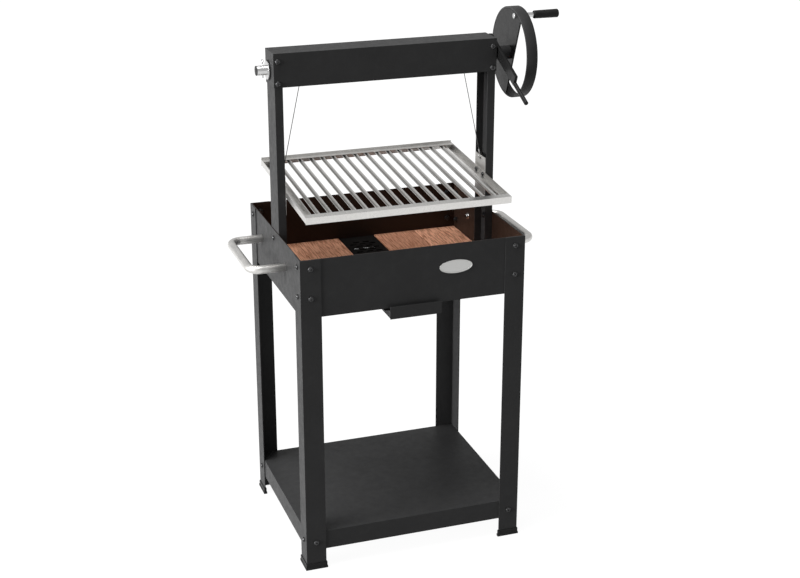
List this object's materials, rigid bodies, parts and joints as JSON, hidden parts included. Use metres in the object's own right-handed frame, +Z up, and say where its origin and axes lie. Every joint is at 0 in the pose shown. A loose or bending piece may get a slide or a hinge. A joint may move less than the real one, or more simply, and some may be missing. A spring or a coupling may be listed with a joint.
{
  "type": "charcoal grill",
  "caption": "Free-standing charcoal grill with a brick-lined firebox and a stainless cooking grate that a handwheel winch raises and lowers on wire ropes.",
  "frame": {"origin": "on the ground, at the centre of the whole machine's outline seen from above", "axes": "+X to the handwheel side, -Y to the front with the ash drawer, +Z up"},
  "size_m": [0.88, 0.5188, 1.418],
  "materials": {
    "powder_black": "heat-resistant satin black powder coat with a fine grain",
    "sooty_black": "matt black, heated and dusty",
    "stainless": "brushed stainless steel",
    "polished_steel": "bright turned steel",
    "fire_clay": "wire-cut fire clay, matt",
    "black_plastic": "moulded black plastic",
    "dark_bolt": "black oxide, slightly glossy",
    "rope_steel": "twisted galvanized wire",
    "badge_silver": "satin, blank",
    "brake_lining": "matt friction lining"
  },
  "bodies": {
    "stand": {"front_panel": "powder_black", "rear_panel": "powder_black", "left_panel": "powder_black", "right_panel": "powder_black", "firebox_floor": "sooty_black", "left_bricks": "fire_clay", "right_bricks": "fire_clay", "ash_grate": "sooty_black", "badge": "badge_silver", "leg_front_left": "powder_black", "leg_front_right": "powder_black", "leg_rear_left": "powder_black", "leg_rear_right": "powder_black", "foot_front_left": "black_plastic", "foot_front_right": "black_plastic", "foot_rear_left": "black_plastic", "foot_rear_right": "black_plastic", "shelf": "powder_black", "left_upright": "powder_black", "right_upright": "powder_black", "top_beam": "powder_black", "left_bush": "black_plastic", "right_bush": "black_plastic", "left_runner": "powder_black", "right_runner": "powder_black", "left_handle": "stainless", "right_handle": "stainless", "handle_bolts": "polished_steel", "panel_bolts": "dark_bolt", "shelf_bolts": "dark_bolt", "upright_bolts": "dark_bolt", "beam_bolts": "dark_bolt", "lever_pivot": "polished_steel"},
    "grate": {"grate_frame": "stainless", "grate_bars": "stainless", "left_slider": "stainless", "right_slider": "stainless", "slider_screws": "dark_bolt", "left_rope_eye": "polished_steel", "right_rope_eye": "polished_steel", "left_rope": "rope_steel", "right_rope": "rope_steel"},
    "winch": {"winch_shaft": "polished_steel", "shaft_plug": "black_plastic", "left_rope_coil": "rope_steel", "right_rope_coil": "rope_steel", "shaft_washer": "polished_steel", "split_pin": "polished_steel", "wheel_hub": "powder_black", "wheel_plate": "powder_black", "wheel_rim": "powder_black", "crank_pin": "polished_steel"},
    "grip": {"crank_grip": "black_plastic"},
    "brake": {"brake_lever": "powder_black", "brake_pad": "brake_lining"},
    "drawer": {"ash_drawer": "powder_black"}
  },
  "joints": [
    {"name": "grate_lift", "type": "slide", "parent": "stand", "child": "grate", "axis": [0, 0, 1], "range_m": [-0.15, 0.19], "deforming": ["left_rope", "right_rope"]},
    {"name": "winch_spin", "type": "hinge", "parent": "stand", "child": "winch", "pos_m": [0.317, 0.01455, 1.298], "axis": [-1, 0, 0], "range_deg": [-637.6, 807.4]},
    {"name": "crank_grip_spin", "type": "hinge", "parent": "winch", "child": "grip", "pos_m": [0.37, -0.01867, 1.40024], "axis": [1, 0, 0], "continuous": true},
    {"name": "brake_lever_lift", "type": "hinge", "parent": "stand", "child": "brake", "pos_m": [0.265, 0.02435, 1.33499], "axis": [-1, 0, 0], "range_deg": [0, 15]},
    {"name": "drawer_slide", "type": "slide", "parent": "stand", "child": "drawer", "axis": [0, -1, 0], "range_m": [0, 0.3]}
  ],
  "couplings": [
    {"joint": "winch_spin", "follows": "grate_lift", "rad_per_m": 74.074}
  ]
}
